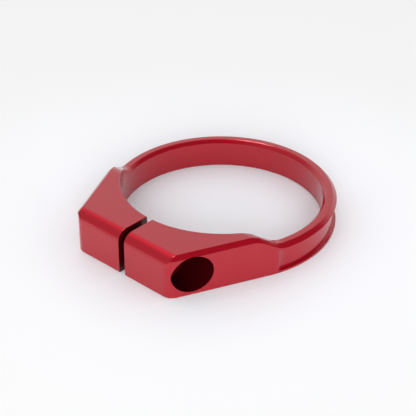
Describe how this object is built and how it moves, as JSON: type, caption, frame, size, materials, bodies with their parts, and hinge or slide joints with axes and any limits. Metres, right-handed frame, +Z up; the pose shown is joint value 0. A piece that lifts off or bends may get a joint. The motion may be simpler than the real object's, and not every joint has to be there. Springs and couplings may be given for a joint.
{
  "type": "steerer tube clamp",
  "caption": "One-piece split collar with a thin grooved ring, two taller ears either side of a slot, and a cross hole for a pinch screw.",
  "frame": {"origin": "on the bore axis, in the plane of the flat bottom face the clamp rests on", "axes": "+Z up along the bore axis; the two ears point towards -Y with the slot in the X = 0 plane; the screw enters the ear on the +X side"},
  "size_m": [0.0434, 0.0481, 0.0085],
  "materials": {
    "anodised": "satin red anodised"
  },
  "bodies": {
    "root": {"clamp": "anodised"}
  },
  "joints": []
}
